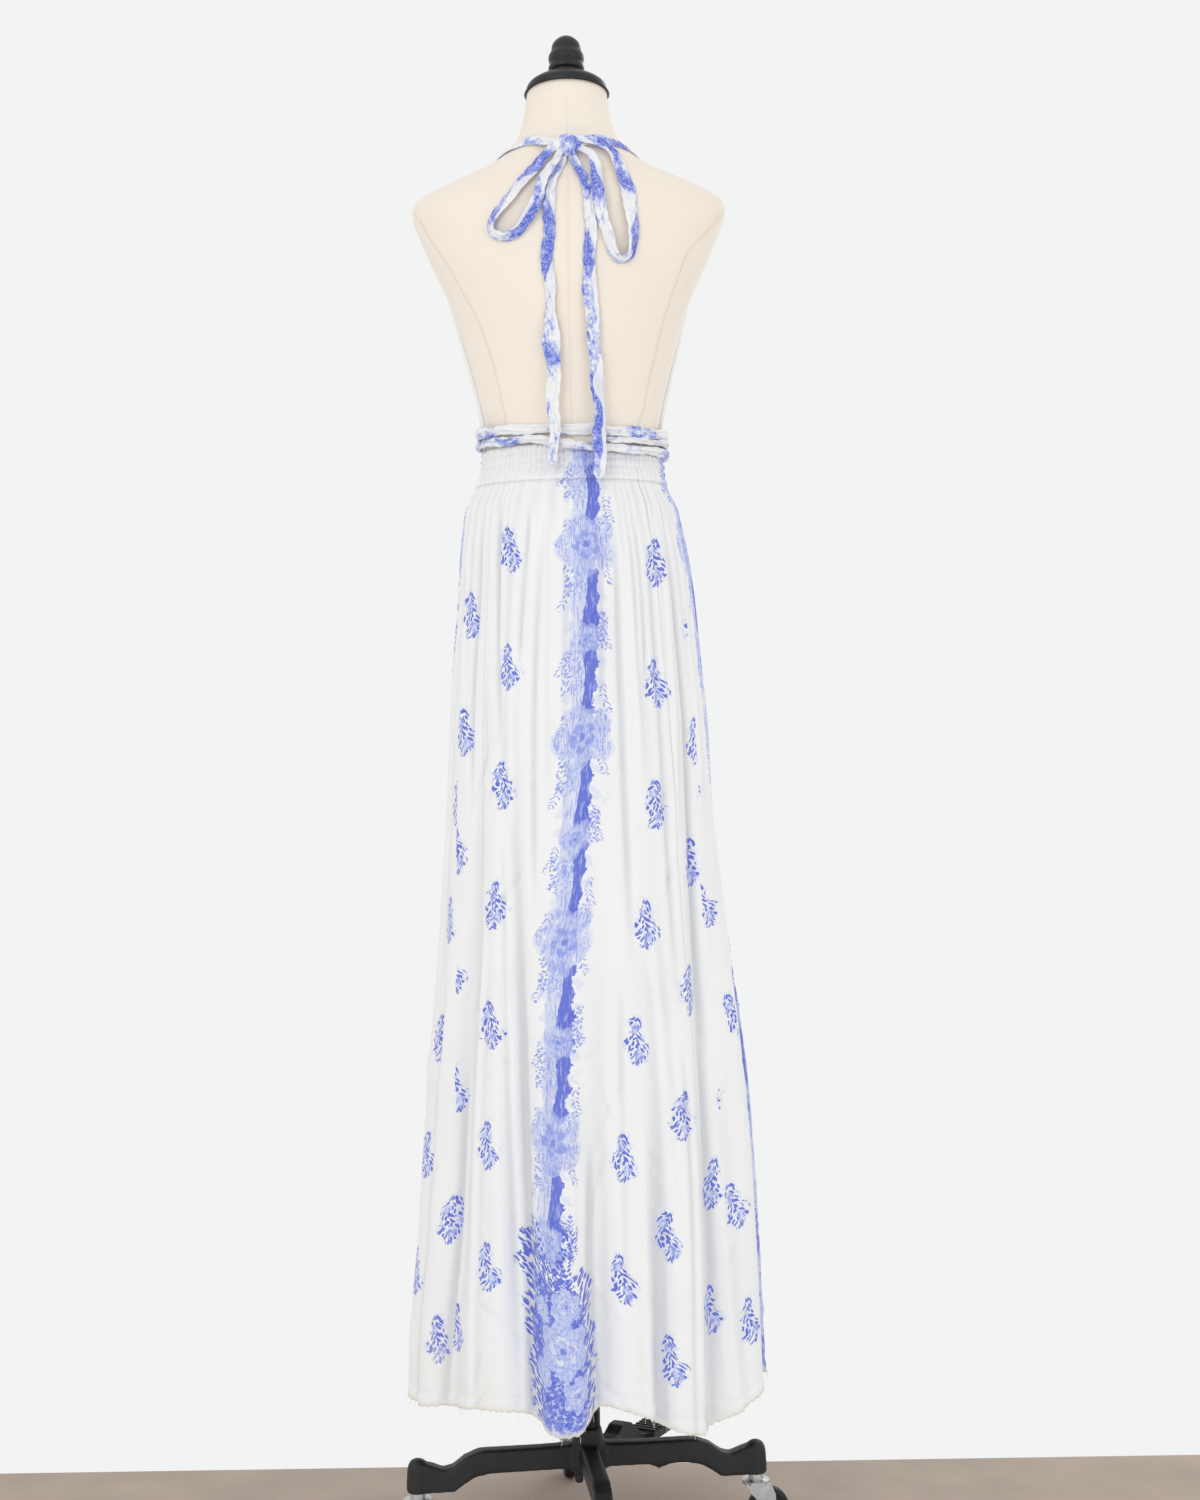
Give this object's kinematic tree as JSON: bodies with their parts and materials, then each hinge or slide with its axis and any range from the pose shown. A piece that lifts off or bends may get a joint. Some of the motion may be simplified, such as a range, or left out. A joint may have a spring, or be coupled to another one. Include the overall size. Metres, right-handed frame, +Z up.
{
  "type": "maxi dress on a limbless dress form with a wheeled stand",
  "caption": "Halter maxi dress in blue-printed white cotton gauze, open at the back, on a limbless linen dress form with a wheeled iron stand.",
  "frame": {"origin": "on the floor under the dress form's axis, at the centre of the part's footprint", "axes": "+Z up; the front of the dress faces +Y and its open back faces -Y; +X is the wearer's right"},
  "size_m": [0.4856, 0.4856, 1.8051],
  "materials": {
    "cotton": "matte",
    "printed_cotton": "matte",
    "linen_cover": "matte",
    "black_cap": "satin",
    "cast_base": "satin",
    "black_tube": "satin",
    "zinc": "satin",
    "wheel_rubber": "matte"
  },
  "bodies": {
    "base": {"base": "cast_base", "column": "black_tube"},
    "form": {"torso": "linen_cover", "neck_cap": "black_cap", "finial": "black_cap", "post": "black_tube", "skirt_back": "cotton", "skirt_right": "cotton", "skirt_front": "cotton", "skirt_left": "cotton", "waistband": "cotton", "bodice_left": "cotton", "bodice_right": "cotton", "neck_strap_left": "printed_cotton", "neck_strap_right": "printed_cotton", "bow_knot": "printed_cotton", "bow_loop_left": "printed_cotton", "bow_loop_right": "printed_cotton", "bow_tail_left": "printed_cotton", "bow_tail_right": "printed_cotton", "waist_tie_upper": "cotton", "waist_tie_middle": "cotton", "waist_tie_lower": "cotton", "waist_knot": "cotton"},
    "pedal": {"pedal": "cast_base"},
    "fork_right": {"caster_fork_right": "zinc"},
    "wheel_right": {"caster_wheel_right": "wheel_rubber"},
    "fork_front": {"caster_fork_front": "zinc"},
    "wheel_front": {"caster_wheel_front": "wheel_rubber"},
    "fork_left": {"caster_fork_left": "zinc"},
    "wheel_left": {"caster_wheel_left": "wheel_rubber"},
    "fork_back": {"caster_fork_back": "zinc"},
    "wheel_back": {"caster_wheel_back": "wheel_rubber"}
  },
  "joints": [
    {"name": "height_slide", "type": "slide", "parent": "base", "child": "form", "axis": [0, 0, 1], "range_m": [0, 0.1]},
    {"name": "pedal_hinge", "type": "hinge", "parent": "base", "child": "pedal", "pos_m": [0.02441, 0.04591, 0.098], "axis": [-0.8829, 0.4695, 0], "range_deg": [0, 7], "stiffness_Nm_per_rad": 6, "springref_deg": -9.74},
    {"name": "swivel_right", "type": "hinge", "parent": "base", "child": "fork_right", "pos_m": [0.20248, 0.02486, 0.062], "axis": [0, 0, 1], "continuous": true},
    {"name": "roll_right", "type": "hinge", "parent": "fork_right", "child": "wheel_right", "pos_m": [0.21737, 0.02669, 0.025], "axis": [-0.1219, 0.9925, 0], "continuous": true},
    {"name": "swivel_front", "type": "hinge", "parent": "base", "child": "fork_front", "pos_m": [-0.02486, 0.20248, 0.062], "axis": [0, 0, 1], "continuous": true},
    {"name": "roll_front", "type": "hinge", "parent": "fork_front", "child": "wheel_front", "pos_m": [-0.02669, 0.21737, 0.025], "axis": [-0.9925, -0.1219, 0], "continuous": true},
    {"name": "swivel_left", "type": "hinge", "parent": "base", "child": "fork_left", "pos_m": [-0.20248, -0.02486, 0.062], "axis": [0, 0, 1], "continuous": true},
    {"name": "roll_left", "type": "hinge", "parent": "fork_left", "child": "wheel_left", "pos_m": [-0.21737, -0.02669, 0.025], "axis": [0.1219, -0.9925, 0], "continuous": true},
    {"name": "swivel_back", "type": "hinge", "parent": "base", "child": "fork_back", "pos_m": [0.02486, -0.20248, 0.062], "axis": [0, 0, 1], "continuous": true},
    {"name": "roll_back", "type": "hinge", "parent": "fork_back", "child": "wheel_back", "pos_m": [0.02669, -0.21737, 0.025], "axis": [0.9925, 0.1219, 0], "continuous": true}
  ]
}
